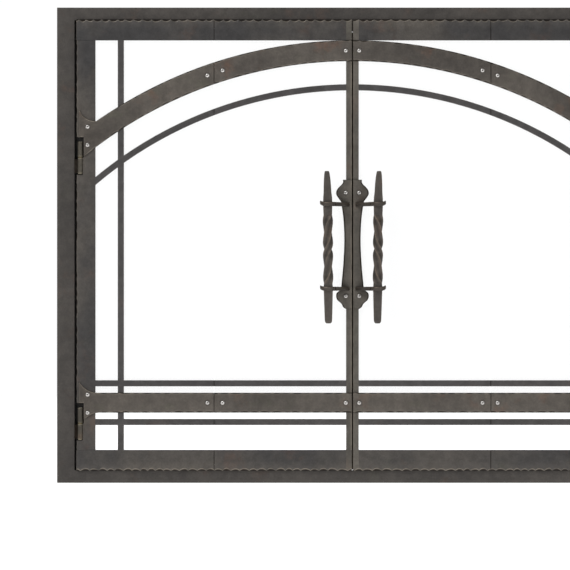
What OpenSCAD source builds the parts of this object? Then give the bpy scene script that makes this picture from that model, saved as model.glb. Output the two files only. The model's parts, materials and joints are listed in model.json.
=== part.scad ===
// Arched fireplace door screen: a fixed steel frame that carries two bifold glass doors.
// Each door is two leaves. The left door is drawn, and the right one is its mirror image.
// Axes: x to the right, y into the fireplace, z up. The origin is the middle of the frame's base.

/* [Frame] */
// Overall width of the frame
frame_w = 978; // [860:1:1200]
// Overall height of the frame
frame_h = 787; // [650:1:950]
// Depth of the flanges that go back into the fireplace opening
frame_depth = 38; // [32:1:60]
// Width of each jamb's face
jamb_face_w = 29; // [22:1:36]
// Height of the faces of the sill and the head
sill_face_h = 21; // [16:1:30]
// Thickness of the face flanges
face_t = 5; // [3:0.5:6]
// Thickness of the return flanges
return_t = 4; // [3:0.5:6]
// Radius of the masonry screw holes in the jambs
masonry_hole_r = 3.5; // [2.5:0.25:4.5]
// Height from the upper masonry hole to the lower one
masonry_spacing = 500; // [380:10:560]

/* [Leaves] */
// Thickness of the stiles, rails and slim bars
plate_t = 5; // [4:0.5:7]
// Width of the hinge stile
stile_w = 31.4; // [28:0.2:40]
// Height of the top and bottom rails
rail_h = 35; // [30:1:45]
// Width of the stile where the doors meet
meeting_w = 9.4; // [9:0.2:12]
// Width of the slim bars
slim_w = 10; // [8:0.5:13]
// Clear space from the hinge stile to the slim upright
upright_inset = 37; // [25:1:60]
// Height of the middle of the lower slim bar
slim_low_z = 101; // [85:1:104]
// Height of the middle of the upper slim bar
slim_high_z = 165; // [162:1:220]
// Overlap of the leaves on the faces of the sill and the head
leaf_lap = 1.2; // [0.5:0.1:2]

/* [Straps and arches] */
// Thickness of the straps and the handle's backplate
strap_t = 4; // [3:0.5:5]
// Height of the middle of the lower strap
strap_z = 133; // [128:1:140]
// Width of the lower strap
strap_w = 33; // [28:0.5:38]
// Width of the arch strap
arch_strap_w = 34.6; // [30:0.2:40]
// Height of the centre of both arches
arch_z = -5.3; // [-40:0.1:20]
// Clear space from the slim arch to the arch strap
arch_space = 38; // [25:1:60]

/* [Hinges] */
// Radius of the barrel hinges
barrel_r = 4; // [3.5:0.25:5]
// Radius of the barrel hinges' pins
pin_r = 2; // [1.5:0.25:2.5]
// Length of one knuckle of a barrel hinge
knuckle_len = 27; // [20:1:30]
// Inset of the barrel hinges' axis from the leaf's edge
barrel_inset = 6.4; // [5:0.2:8]
// Radius of the fold hinges' knuckles
fold_r = 3.5; // [3:0.25:4]
// Radius of the fold hinges' pins
fold_pin_r = 1.5; // [1:0.25:1.75]
// Height of a fold hinge
fold_hinge_h = 20; // [16:1:22]

/* [Glass] */
// Thickness of the glass
glass_t = 4; // [3:0.5:5]
// Overlap of the glass behind the stiles and rails
glass_lap = 12; // [8:1:14]
// Inset of the glass from a door's meeting edge
glass_meeting_inset = 3; // [2.5:0.5:5]

/* [Handles] */
// Height of the middle of the handles
handle_z = 391; // [340:1:430]
// Length of a handle bar
handle_len = 250; // [210:1:300]
// Side of the square bar that is twisted
twist_side = 12; // [10:0.5:14]
// Width of the bar's flat ends
flat_w = 15; // [12:0.5:18]
// Thickness of the bar's flat ends
flat_t = 10; // [8:0.5:12]
// Distance between the two arms of a handle
arm_spacing = 139; // [120:1:160]
// Reach of the arms from the backplate to the middle of the bar
arm_reach = 38; // [30:1:50]
// Distance from the middle of the screen to the middle of the bar
handle_x = 41; // [36:1:50]

/* [Clearances] */
// Clearance between the jamb and the leaf's edge as it swings
jamb_clear = 1.2; // [0.8:0.1:3]
// Clearance between the frame's face and the leaf's back as it swings
sweep_clear = 0.4; // [0.3:0.1:2]
// Clearance from the middle of the screen to a door's edge as it swings
meeting_clear = 0.15; // [0.1:0.05:1]
// Gap between the two leaves of a door
fold_gap = 0.4; // [0.3:0.1:2]
// Radial clearance of pins and screws in their holes
running_clear = 0.05; // [0.03:0.01:0.1]

/* [Hidden] */
$fn = 64;
arc_fn = 720;
eps = 0.01;
over = 1;

// Depths, from the frame's face towards the fireplace
face_y = -frame_depth / 2;
back_y = frame_depth / 2;
axis_proud = 1;
axis_to_back = plate_t + axis_proud;
swing_r = sqrt(barrel_inset * barrel_inset + axis_to_back * axis_to_back);
plate_y1 = face_y - (swing_r - axis_to_back) - sweep_clear;
plate_y0 = plate_y1 - plate_t;
strap_y0 = plate_y0 - strap_t;
hinge_y = plate_y0 - axis_proud;
glass_y1 = plate_y1 + glass_t;
fold_clear = 2.5;
fold_y = glass_y1 + fold_clear;

// Positions across the left door
jamb_x1 = -frame_w / 2 + jamb_face_w;
leaf_x0 = jamb_x1 + swing_r - barrel_inset + jamb_clear;
hinge_x = leaf_x0 + barrel_inset;
meeting_depth = 2 * fold_y - hinge_y - strap_y0;
meeting_x = -(sqrt(hinge_x * hinge_x + meeting_depth * meeting_depth) + hinge_x) - meeting_clear;
fold_x = (leaf_x0 + meeting_x) / 2;
outer_x1 = fold_x - fold_gap / 2;
inner_x0 = fold_x + fold_gap / 2;
stile_x1 = leaf_x0 + stile_w;
upright_x0 = stile_x1 + upright_inset;
meeting_x0 = meeting_x - meeting_w;

// Heights
leaf_z0 = sill_face_h - leaf_lap;
leaf_z1 = frame_h - sill_face_h + leaf_lap;
rail_z0 = leaf_z0 + rail_h;
rail_z1 = leaf_z1 - rail_h;

// Both arches share one centre, and the crown of the arch strap meets the top rail
arch_r1 = rail_z1 - arch_z;
arch_r0 = arch_r1 - arch_strap_w;
slim_r1 = arch_r0 - arch_space;
slim_r0 = slim_r1 - slim_w;
arch_mid_r = (arch_r0 + arch_r1) / 2;
function on_arch(r, x) = arch_z + sqrt(r * r - x * x);

// Forged hinge ends of the straps: blunt tips, hollow curves and a notch round the barrel hinge
tip_past_axis = 2;
notch_clear = 2;
tip_w = 1.2;
tip_rise = 17;
tip_drop = 11;
flare_past_stile = 5;
drop_past_stile = 7;
low_notch_drop = 0.5;
arch_notch_rise = 32.4;
arch_tip_h = 43.5;
arch_flare_run = 25.5;
arch_flare_past = 10;
strap_x0 = hinge_x - tip_past_axis;
notch_x = hinge_x + barrel_r + notch_clear;
low_notch_z = strap_z - low_notch_drop;
arch_notch_z = on_arch(arch_r0, notch_x) + arch_notch_rise;
arch_tip_z = arch_notch_z + arch_tip_h;
function flare_r(run, rise) = (run * run + rise * rise) / (2 * rise);

// Barrel hinges: each joins a knuckle on the door to a knuckle below it on the frame
void_h = 7;
collar_h = 1;
pin_floor = 3;
pin_end_clear = 1;
stile_gap = 0.3;
notch_under = 1;
tab_step = 1;
tab_shorter = 2;
hinge_splits = [low_notch_z - void_h - knuckle_len, arch_notch_z - void_h - knuckle_len];
notch_tops = [low_notch_z, arch_notch_z];

// Fold hinges, behind the straps
fold_hinge_zs = [strap_z, on_arch(arch_mid_r, fold_x)];
fold_block_w = 21;
fold_arm_w = 5;
knuckle_gap = 0.3;
fold_knuckle_h = (fold_hinge_h - 2 * knuckle_gap) / 3;

// Button-head screws: [x, z] on each strap and on the backplate
screw_r = 2;
head_r = 3.7;
head_h = 2.3;
socket_r = 1.45;
socket_depth = 1.3;
dome_r = 4.6;
end_screw_x = stile_x1 - 12.6;
outer_fold_screw_x = fold_x - 11;
inner_fold_screw_x = fold_x + 14;
meeting_screw_x = meeting_x - 10;
plate_screw_low = 81.5;
plate_screw_high = 89;
plate_screw_zs = [handle_z - plate_screw_low, handle_z + plate_screw_high];
// Heights of a hinge end's two screws from its notch
low_end_screws = [14, -16];
arch_end_screws = [17, -13];
outer_screws = concat(
    [for (rise = low_end_screws) [end_screw_x, low_notch_z + rise]],
    [[outer_fold_screw_x, strap_z]],
    [for (rise = arch_end_screws) [end_screw_x, arch_notch_z + rise]],
    [[outer_fold_screw_x, on_arch(arch_mid_r, outer_fold_screw_x)]]
);
inner_screws = [
    [inner_fold_screw_x, strap_z],
    [meeting_screw_x, strap_z],
    [inner_fold_screw_x, on_arch(arch_mid_r, inner_fold_screw_x)],
    [meeting_screw_x, on_arch(arch_mid_r, meeting_screw_x)],
    [meeting_screw_x, plate_screw_zs[0]],
    [meeting_screw_x, plate_screw_zs[1]]
];

// Glass panes and the clips that hold them: [x, z, turn], at the edge of the glass
glass_z0 = rail_z0 - glass_lap;
glass_z1 = rail_z1 + glass_lap;
glass_x0 = stile_x1 - glass_lap;
glass_fold_gap = 1.5;
hinge_notch_w = 8;
hinge_notch_clear = 2;
clip_w = 12;
clip_base = 9;
clip_tongue = 6;
clip_t = 1.5;
clip_back = glass_t + clip_t;
clip_screw_r = 1.5;
clip_screw_short = 1;
clip_head_r = 3;
clip_head_h = 1.6;
clip_gap = 0.3;
clip_hole_x = -clip_gap - clip_base / 2;
clip_over_bar = 40;
clip_under_hinge = 60;
stile_clip_zs = [slim_high_z + clip_over_bar, hinge_splits[1] - knuckle_len - clip_under_hinge];
outer_clip_runs = [45, 165];
inner_clip_runs = [85, 125];
outer_clips = concat(
    [for (z = stile_clip_zs) [glass_x0, z, 0]],
    [for (run = outer_clip_runs) [fold_x - run, glass_z0, -90]],
    [for (run = outer_clip_runs) [fold_x - run, glass_z1, 90]]
);
inner_clips = concat(
    [for (run = inner_clip_runs) [fold_x + run, glass_z0, -90]],
    [for (run = inner_clip_runs) [fold_x + run, glass_z1, 90]]
);

// Handle
arm_t = 5.5;
arm_zs = [handle_z - arm_spacing / 2, handle_z + arm_spacing / 2];
eye_wall = 4.7;
eye_r = flat_w / 2 + eye_wall;
bar_y = strap_y0 - arm_reach;
bar_drop = 1.5;
foot_w = 13;
foot_x1 = meeting_x - 4;
twist_low_inset = 9;
twist_high_inset = 18;
twist_z0 = arm_zs[0] + twist_low_inset;
twist_z1 = arm_zs[1] - twist_high_inset;
twist_turn = -360;
twist_slices = 40;
top_tip_w = 7.6;
bottom_tip_w = 12.2;
plate_top_z = plate_screw_zs[1] + 22;
plate_low_z = plate_screw_zs[0] - 21;
plate_waist_w = 12;
plate_end_w = 16;
lobe_r = 10;
lobe_x = meeting_x - plate_end_w;

// Stop strip behind the gap between the doors, clear of the other door's stile and glass as either swings,
// and of the tab and the catches at the head
catch_size = [30, 13, 15];
door_stop_past_catch = 4;
door_stop_z0 = frame_h - sill_face_h - catch_size[2] - door_stop_past_catch;
strip_stand_off = 1.3;
strip_t = 1.5;
strip_past_gap = 1.5;
strip_end_clear = 1;
strip_y0 = plate_y1 + strip_stand_off;
strip_z = [sill_face_h + strip_end_clear, door_stop_z0 - strip_end_clear];

// Colours of the finishes
bronze = "#4c4844";
strap_bronze = "#5d564f";
slim_bronze = "#4d4949";
hinge_bronze = "#5a5243";
steel = "#dcd8d0";
zinc = "#8d8f90";
black = "#1d1a18";
glass_tint = [0.80, 0.88, 0.88, 0.30];

// ---- shared shapes ----

// A box between two x, two y and two z values
module slab(x, y, z) {
    translate([x[0], y[0], z[0]]) cube([x[1] - x[0], y[1] - y[0], z[1] - z[0]]);
}

// A plate whose outline is drawn in x and z, from y = back towards the room
module plate(back, thickness) {
    translate([0, back, 0]) rotate([90, 0, 0]) linear_extrude(thickness) children();
}

// A rectangle between two x and two z values
module area(x, z) {
    translate([x[0], z[0]]) square([x[1] - x[0], z[1] - z[0]]);
}

// A round bar along y, from y = back towards the room
module rod(x, z, back, length, r) {
    translate([x, back, z]) rotate([90, 0, 0]) cylinder(h = length, r = r);
}

// Holes for the button-head screws of one leaf
module screw_holes(screws) {
    for (s = screws) rod(s[0], s[1], plate_y1 + eps, plate_t + strap_t + 2 * eps, screw_r + running_clear);
}

// The ring between two radii about the arches' centre
module ring(r0, r1) {
    translate([0, arch_z]) difference() {
        circle(r1, $fn = arc_fn);
        circle(r0, $fn = arc_fn);
    }
}

// The part of a ring that lies over one leaf
module arch_outline(r0, r1, x) {
    intersection() {
        ring(r0, r1);
        area(x, [arch_z, arch_z + r1 + over]);
    }
}

// ---- frame ----

masonry_hole_inset = 12;
masonry_hole_y = back_y - masonry_hole_inset;
module jamb() color(bronze) difference() {
    union() {
        slab([-frame_w / 2, jamb_x1], [face_y, face_y + face_t], [0, frame_h]);
        slab([jamb_x1 - return_t, jamb_x1], [face_y, back_y], [0, frame_h]);
    }
    for (side = [-1, 1])
        translate([jamb_x1 - return_t - eps, masonry_hole_y, frame_h / 2 + side * masonry_spacing / 2])
            rotate([0, 90, 0]) cylinder(h = return_t + 2 * eps, r = masonry_hole_r);
}

// The head carries a tab behind the top of the gap between the doors
door_stop_w = 12;
door_stop_t = 3;
module head() color(bronze) {
    slab([-door_stop_w / 2, door_stop_w / 2], [face_y, face_y + door_stop_t],
         [door_stop_z0, frame_h - sill_face_h + eps]);
    slab([jamb_x1, -jamb_x1], [face_y, face_y + face_t], [frame_h - sill_face_h, frame_h]);
    slab([jamb_x1, -jamb_x1], [face_y, back_y], [frame_h - sill_face_h, frame_h - sill_face_h + return_t]);
}

module sill() color(bronze) {
    slab([jamb_x1, -jamb_x1], [face_y, face_y + face_t], [0, sill_face_h]);
    slab([jamb_x1, -jamb_x1], [face_y, back_y], [0, return_t]);
}

// Strips that close the gap beside each hinge stile against draughts
baffle_w = 16;
baffle_t = 3;
baffle_inset = 14;
baffle_y = face_y + baffle_inset;
module baffle() color(black)
    slab([jamb_x1, jamb_x1 + baffle_w], [baffle_y, baffle_y + baffle_t], [return_t, frame_h - sill_face_h]);

// Lower knuckle of each barrel hinge, with its tab to the jamb
module frame_knuckles() color(hinge_bronze)
    for (split = hinge_splits) difference() {
        union() {
            translate([hinge_x, hinge_y, split - knuckle_len]) cylinder(h = knuckle_len, r = barrel_r);
            slab([jamb_x1, hinge_x], [hinge_y + tab_step, face_y + face_t - tab_step],
                 [split - knuckle_len + tab_shorter, split - tab_shorter]);
        }
        translate([hinge_x, hinge_y, split - knuckle_len + pin_floor])
            cylinder(h = knuckle_len, r = pin_r + running_clear);
    }

// Hinge pins, each with a brass collar that the door's knuckle rests on
module hinge_pins() color("#8a7440")
    for (split = hinge_splits) translate([hinge_x, hinge_y, split]) {
        translate([0, 0, -knuckle_len + pin_floor]) cylinder(h = 2 * (knuckle_len - pin_floor), r = pin_r);
        cylinder(h = collar_h, r = barrel_r);
    }

// Magnets under the head, level with its face, which the doors' back corners clear as they swing
catch_inset = 15;
module magnet_catch() color(black)
    translate([meeting_x - catch_inset - catch_size[0], face_y, frame_h - sill_face_h - catch_size[2]])
        cube(catch_size);

// ---- outer leaf ----

module clip_holes(clips) {
    for (c = clips) translate([c[0], 0, c[1]]) rotate([0, c[2], 0])
        rod(clip_hole_x, 0, plate_y1 + eps, plate_t, clip_screw_r + running_clear);
}

// The stile is cut away round each barrel hinge
module hinge_stile() color(bronze) difference() {
    slab([leaf_x0, stile_x1], [plate_y0, plate_y1], [leaf_z0, leaf_z1]);
    for (i = [0, 1])
        slab([leaf_x0 - over, hinge_x + barrel_r + stile_gap], [plate_y0 - over, plate_y1 + over],
             [hinge_splits[i] - knuckle_len - notch_under, notch_tops[i]]);
    screw_holes(outer_screws);
    clip_holes(outer_clips);
}

module rail(x, z, clips) color(bronze) difference() {
    slab(x, [plate_y0, plate_y1], z);
    clip_holes(clips);
}

// Two slim bars and the slim arch over them
module slim_bars(x) color(slim_bronze) {
    for (z = [slim_low_z, slim_high_z])
        slab(x, [plate_y0, plate_y1], [z - slim_w / 2, z + slim_w / 2]);
    plate(plate_y1, plate_t) arch_outline(slim_r0, slim_r1, x);
}

// The upright is halved behind the slim bars, and they are halved over it
module slim_upright() color(slim_bronze) difference() {
    slab([upright_x0, upright_x0 + slim_w], [plate_y0, plate_y1], [rail_z0, rail_z1]);
    translate([0, -plate_t / 2, 0]) slim_bars([upright_x0 - over, upright_x0 + slim_w + over]);
}

module outer_slim_bars() color(slim_bronze) difference() {
    slim_bars([stile_x1, outer_x1]);
    slab([upright_x0, upright_x0 + slim_w], [plate_y0 + plate_t / 2, plate_y1 + over], [rail_z0, rail_z1]);
}

// The forged end of the lower strap: two blunt tips with hollow curves, and the hinge's notch
module lower_strap_end() {
    run = stile_x1 + flare_past_stile - strap_x0 - tip_w;
    low_run = stile_x1 + drop_past_stile - notch_x - tip_w;
    top = strap_z + strap_w / 2;
    low = strap_z - strap_w / 2;
    difference() {
        union() {
            area([strap_x0, strap_x0 + tip_w + run], [low_notch_z, top + tip_rise]);
            area([notch_x, notch_x + tip_w + low_run], [low - tip_drop, low_notch_z + eps]);
        }
        translate([strap_x0 + tip_w + run, top + flare_r(run, tip_rise)])
            circle(flare_r(run, tip_rise), $fn = arc_fn);
        translate([notch_x + tip_w + low_run, low - flare_r(low_run, tip_drop)])
            circle(flare_r(low_run, tip_drop), $fn = arc_fn);
    }
}

module outer_lower_strap() color(strap_bronze) difference() {
    plate(plate_y0, strap_t) union() {
        lower_strap_end();
        area([stile_x1, outer_x1], [strap_z - strap_w / 2, strap_z + strap_w / 2]);
    }
    screw_holes(outer_screws);
}

// The arch strap with its forged end: its lower edge follows the arch down to the tip
module arch_strap_outline() {
    hollow_r = flare_r(arch_flare_run, tip_rise);
    hollow_x = strap_x0 + tip_w + arch_flare_run;
    difference() {
        union() {
            arch_outline(arch_r0, arch_r1, [strap_x0, outer_x1]);
            difference() {
                area([strap_x0, hollow_x + arch_flare_past], [arch_notch_z, arch_tip_z]);
                translate([hollow_x, arch_tip_z - tip_rise + hollow_r]) circle(hollow_r, $fn = arc_fn);
                translate([0, arch_z]) circle(arch_r0, $fn = arc_fn);
            }
        }
        area([strap_x0 - over, notch_x], [arch_z, arch_notch_z]);
    }
}

module outer_arch_strap() color(strap_bronze) difference() {
    plate(plate_y0, strap_t) arch_strap_outline();
    screw_holes(outer_screws);
}

// A pane with a notch for each fold hinge; side is the direction from the fold to the pane
module glass_pane(x, side) color(glass_tint) difference() {
    slab(x, [plate_y1, glass_y1], [glass_z0, glass_z1]);
    for (z = fold_hinge_zs)
        translate([fold_x + side * hinge_notch_w / 2, (plate_y1 + glass_y1) / 2, z])
            cube([hinge_notch_w, glass_t + over, fold_hinge_h + 2 * hinge_notch_clear], center = true);
}

// A clip beside the glass with a tongue over it, and its screw
module glass_clips(clips) color(zinc)
    for (c = clips) translate([c[0], plate_y1, c[1]]) rotate([0, c[2], 0]) {
        difference() {
            union() {
                slab([-clip_gap - clip_base, -clip_gap], [0, glass_t], [-clip_w / 2, clip_w / 2]);
                slab([-clip_gap - clip_base, clip_tongue], [glass_t, clip_back], [-clip_w / 2, clip_w / 2]);
            }
            rod(clip_hole_x, 0, clip_back + over, clip_back + 2 * over, clip_screw_r + running_clear);
        }
        rod(clip_hole_x, 0, clip_back + eps, clip_back + plate_t - clip_screw_short, clip_screw_r);
        rod(clip_hole_x, 0, clip_back + clip_head_h, clip_head_h, clip_head_r);
    }

// A domed head with a hexagonal socket, on a shank that goes into the leaf
module button_screws(screws) color(steel)
    for (s = screws) translate([s[0], strap_y0, s[1]]) rotate([90, 0, 0]) difference() {
        union() {
            translate([0, 0, -strap_t - plate_t]) cylinder(h = strap_t + plate_t + eps, r = screw_r);
            intersection() {
                cylinder(h = head_h, r = head_r);
                translate([0, 0, head_h - dome_r]) sphere(r = dome_r);
            }
        }
        translate([0, 0, head_h - socket_depth]) cylinder(h = socket_depth + over, r = socket_r, $fn = 6);
    }

// Upper knuckle of each barrel hinge, with its web to the stile
module door_knuckles() color(hinge_bronze)
    for (split = hinge_splits) difference() {
        union() {
            translate([hinge_x, hinge_y, split + collar_h + knuckle_gap])
                cylinder(h = knuckle_len - collar_h - knuckle_gap, r = barrel_r);
            slab([hinge_x, hinge_x + barrel_r + stile_gap], [plate_y0, plate_y1],
                 [split + collar_h + knuckle_gap, split + knuckle_len]);
        }
        translate([hinge_x, hinge_y, split])
            cylinder(h = knuckle_len - pin_floor + pin_end_clear, r = pin_r + running_clear);
    }

// One knuckle of a fold hinge with its arm; side is the direction from the fold to the leaf
module fold_knuckle(z, side) {
    difference() {
        union() {
            translate([fold_x, fold_y, z]) cylinder(h = fold_knuckle_h, r = fold_r);
            translate([fold_x + side * fold_arm_w / 2, (plate_y1 + fold_y) / 2, z + fold_knuckle_h / 2])
                cube([fold_arm_w, fold_y - plate_y1, fold_knuckle_h], center = true);
        }
        translate([fold_x, fold_y, z - over])
            cylinder(h = fold_knuckle_h + 2 * over, r = fold_pin_r + running_clear);
    }
}

module outer_fold_hinges() color(hinge_bronze) difference() {
    for (z = fold_hinge_zs) union() {
        slab([outer_x1 - fold_block_w, outer_x1], [plate_y0, plate_y1],
             [z - fold_hinge_h / 2, z + fold_hinge_h / 2]);
        fold_knuckle(z - fold_hinge_h / 2, -1);
        fold_knuckle(z + fold_hinge_h / 2 - fold_knuckle_h, -1);
    }
    screw_holes(outer_screws);
}

module inner_fold_hinges() color(hinge_bronze) difference() {
    for (z = fold_hinge_zs) union() {
        slab([inner_x0, inner_x0 + fold_block_w], [plate_y0, plate_y1],
             [z - fold_hinge_h / 2, z + fold_hinge_h / 2]);
        fold_knuckle(z - fold_knuckle_h / 2, 1);
    }
    screw_holes(inner_screws);
}

pin_head_t = 1;
pin_head_r = fold_pin_r + 1;
module fold_pins() color(steel)
    for (z = fold_hinge_zs) translate([fold_x, fold_y, z - fold_hinge_h / 2]) {
        translate([0, 0, -eps]) cylinder(h = fold_hinge_h + 2 * eps, r = fold_pin_r);
        for (end = [-pin_head_t, fold_hinge_h])
            translate([0, 0, end]) cylinder(h = pin_head_t, r = pin_head_r);
    }

// ---- inner leaf ----

// The stile where the doors meet, with a lug behind each screw
lug_w = 9;
lug_h = 12;
module meeting_stile() color(bronze) difference() {
    union() {
        slab([meeting_x0, meeting_x], [plate_y0, plate_y1], [leaf_z0, leaf_z1]);
        for (i = [1, 3, 4, 5])
            slab([meeting_x0 - lug_w, meeting_x0 + eps], [plate_y0, plate_y1],
                 [inner_screws[i][1] - lug_h / 2, inner_screws[i][1] + lug_h / 2]);
    }
    screw_holes(inner_screws);
}

// The left door's meeting stile carries the stop strip, joined to it beside the glass
module stop_strip() color(bronze) {
    root_x0 = meeting_x - glass_meeting_inset + clip_gap;
    slab([root_x0, meeting_x], [plate_y1 - eps, strip_y0 + strip_t], strip_z);
    slab([meeting_x - eps, -meeting_x + strip_past_gap], [strip_y0, strip_y0 + strip_t], strip_z);
}

module inner_lower_strap() color(strap_bronze) difference() {
    plate(plate_y0, strap_t) area([inner_x0, meeting_x], [strap_z - strap_w / 2, strap_z + strap_w / 2]);
    screw_holes(inner_screws);
}

module inner_arch_strap() color(strap_bronze) difference() {
    plate(plate_y0, strap_t) arch_outline(arch_r0, arch_r1, [inner_x0, meeting_x]);
    screw_holes(inner_screws);
}

// Half of the handle's plate: a hollow waist between two lobes
module backplate() color(bronze) difference() {
    plate(plate_y0, strap_t) difference() {
        union() {
            area([meeting_x - plate_end_w, meeting_x], [plate_low_z, plate_top_z]);
            for (z = plate_screw_zs) translate([lobe_x, z]) circle(lobe_r);
        }
        intersection() {
            half = arm_spacing / 2;
            waist_r = flare_r(half, plate_end_w - plate_waist_w);
            translate([meeting_x - plate_waist_w - waist_r, handle_z]) circle(waist_r, $fn = arc_fn);
            area([meeting_x - 3 * plate_end_w, meeting_x], [handle_z - half, handle_z + half]);
        }
    }
    screw_holes(inner_screws);
}

// The handle bar: flat ends with drawn-out tips, and a full twist between the arms
module handle_bar() color(bronze) {
    low = handle_z - bar_drop - handle_len / 2;
    high = handle_z - bar_drop + handle_len / 2;
    translate([-handle_x, bar_y, 0]) {
        translate([0, flat_t / 2, 0]) rotate([90, 0, 0]) linear_extrude(flat_t) {
            polygon([
                [-flat_w / 2, twist_z1], [flat_w / 2, twist_z1],
                [flat_w / 2, arm_zs[1] + arm_t], [top_tip_w / 2, high],
                [-top_tip_w / 2, high], [-flat_w / 2, arm_zs[1] + arm_t]
            ]);
            polygon([
                [-flat_w / 2, twist_z0], [flat_w / 2, twist_z0],
                [flat_w / 2, arm_zs[0] - arm_t], [bottom_tip_w / 2, low],
                [-bottom_tip_w / 2, low], [-flat_w / 2, arm_zs[0] - arm_t]
            ]);
        }
        translate([0, 0, twist_z0])
            linear_extrude(twist_z1 - twist_z0, twist = twist_turn, slices = twist_slices, $fn = 8)
                square(twist_side, center = true);
    }
}

// The arms: flat bars that reach from the backplate to an eye round the handle bar
eye_side = eye_r * sin(45);
module handle_arms() color(bronze)
    for (z = arm_zs) translate([0, 0, z - arm_t / 2]) linear_extrude(arm_t) difference() {
        union() {
            translate([-handle_x, bar_y]) circle(eye_r);
            polygon([
                [foot_x1, strap_y0], [foot_x1 - foot_w, strap_y0],
                [-handle_x - eye_side, bar_y + eye_side], [-handle_x + eye_side, bar_y - eye_side]
            ]);
        }
        translate([-handle_x, bar_y])
            square([flat_w + 2 * running_clear, flat_t + 2 * running_clear], center = true);
    }

// ---- the right half is the left half mirrored about x = 0 ----

module right() {
    mirror([1, 0, 0]) children();
}

module both() {
    children();
    right() children();
}

outer_x = [stile_x1, outer_x1];
inner_x = [inner_x0, meeting_x0];
low_rail_z = [leaf_z0, rail_z0];
top_rail_z = [rail_z1, leaf_z1];
outer_glass_x = [glass_x0, fold_x - glass_fold_gap];
inner_glass_x = [fold_x + glass_fold_gap, meeting_x - glass_meeting_inset];

jamb();  // left_jamb
right() jamb();  // right_jamb
head();  // frame_head
sill();  // frame_sill
both() baffle();  // jamb_baffles
both() frame_knuckles();
both() hinge_pins();
both() magnet_catch();  // magnet_catches

hinge_stile();  // left_hinge_stile
rail(outer_x, top_rail_z, outer_clips);  // left_outer_top_rail
rail(outer_x, low_rail_z, outer_clips);  // left_outer_bottom_rail
outer_slim_bars();  // left_outer_slim_bars
slim_upright();  // left_slim_upright
outer_lower_strap();  // left_outer_lower_strap
outer_arch_strap();  // left_outer_arch_strap
glass_pane(outer_glass_x, -1);  // left_outer_glass
glass_clips(outer_clips);  // left_outer_glass_clips
button_screws(outer_screws);  // left_outer_screws
door_knuckles();  // left_door_knuckles
outer_fold_hinges();  // left_outer_fold_hinges
fold_pins();  // left_fold_pins
union() {  // left_meeting_stile
    meeting_stile();
    stop_strip();
}
rail(inner_x, top_rail_z, inner_clips);  // left_inner_top_rail
rail(inner_x, low_rail_z, inner_clips);  // left_inner_bottom_rail
slim_bars(inner_x);  // left_inner_slim_bars
inner_lower_strap();  // left_inner_lower_strap
inner_arch_strap();  // left_inner_arch_strap
glass_pane(inner_glass_x, 1);  // left_inner_glass
glass_clips(inner_clips);  // left_inner_glass_clips
button_screws(inner_screws);  // left_inner_screws
backplate();  // left_backplate
handle_bar();  // left_handle_bar
handle_arms();  // left_handle_arms
inner_fold_hinges();  // left_inner_fold_hinges

right() hinge_stile();  // right_hinge_stile
right() rail(outer_x, top_rail_z, outer_clips);  // right_outer_top_rail
right() rail(outer_x, low_rail_z, outer_clips);  // right_outer_bottom_rail
right() outer_slim_bars();  // right_outer_slim_bars
right() slim_upright();  // right_slim_upright
right() outer_lower_strap();  // right_outer_lower_strap
right() outer_arch_strap();  // right_outer_arch_strap
right() glass_pane(outer_glass_x, -1);  // right_outer_glass
right() glass_clips(outer_clips);  // right_outer_glass_clips
right() button_screws(outer_screws);  // right_outer_screws
right() door_knuckles();  // right_door_knuckles
right() outer_fold_hinges();  // right_outer_fold_hinges
right() fold_pins();  // right_fold_pins
right() meeting_stile();  // right_meeting_stile
right() rail(inner_x, top_rail_z, inner_clips);  // right_inner_top_rail
right() rail(inner_x, low_rail_z, inner_clips);  // right_inner_bottom_rail
right() slim_bars(inner_x);  // right_inner_slim_bars
right() inner_lower_strap();  // right_inner_lower_strap
right() inner_arch_strap();  // right_inner_arch_strap
right() glass_pane(inner_glass_x, 1);  // right_inner_glass
right() glass_clips(inner_clips);  // right_inner_glass_clips
right() button_screws(inner_screws);  // right_inner_screws
right() backplate();  // right_backplate
right() handle_bar();  // right_handle_bar
right() handle_arms();  // right_handle_arms
right() inner_fold_hinges();  // right_inner_fold_hinges
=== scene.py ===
import json
import math
import random
import zlib

import bmesh
import bpy
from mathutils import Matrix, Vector


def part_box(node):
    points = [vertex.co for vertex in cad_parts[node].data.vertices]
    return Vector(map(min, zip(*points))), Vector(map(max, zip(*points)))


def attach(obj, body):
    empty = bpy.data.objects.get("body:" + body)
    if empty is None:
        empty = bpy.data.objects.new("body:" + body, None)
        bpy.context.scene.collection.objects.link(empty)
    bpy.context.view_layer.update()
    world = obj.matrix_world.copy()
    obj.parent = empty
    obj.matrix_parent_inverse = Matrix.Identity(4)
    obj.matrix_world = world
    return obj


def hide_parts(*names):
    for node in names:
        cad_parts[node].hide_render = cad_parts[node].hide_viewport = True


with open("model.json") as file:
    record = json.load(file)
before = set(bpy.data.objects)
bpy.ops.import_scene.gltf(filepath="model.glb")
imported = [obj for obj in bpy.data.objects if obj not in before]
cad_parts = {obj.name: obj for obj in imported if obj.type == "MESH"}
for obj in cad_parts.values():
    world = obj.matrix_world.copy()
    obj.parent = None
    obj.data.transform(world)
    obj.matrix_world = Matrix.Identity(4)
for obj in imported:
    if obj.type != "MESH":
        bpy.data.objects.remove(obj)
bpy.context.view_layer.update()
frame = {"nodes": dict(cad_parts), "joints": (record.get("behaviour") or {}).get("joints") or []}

# All lengths below are in millimetres, in the frame of the CAD model; meshes are made in metres.
# The left half is worked out from the CAD nodes; the right half is its mirror image, hammered differently.
MM = 0.001
SIDES = (("left", 1), ("right", -1))


def edges(node):
    """A CAD node's box in millimetres: x0, x1, y0, y1, z0, z1."""
    low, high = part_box(node)
    return [v / MM for pair in zip(low, high) for v in pair]


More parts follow.
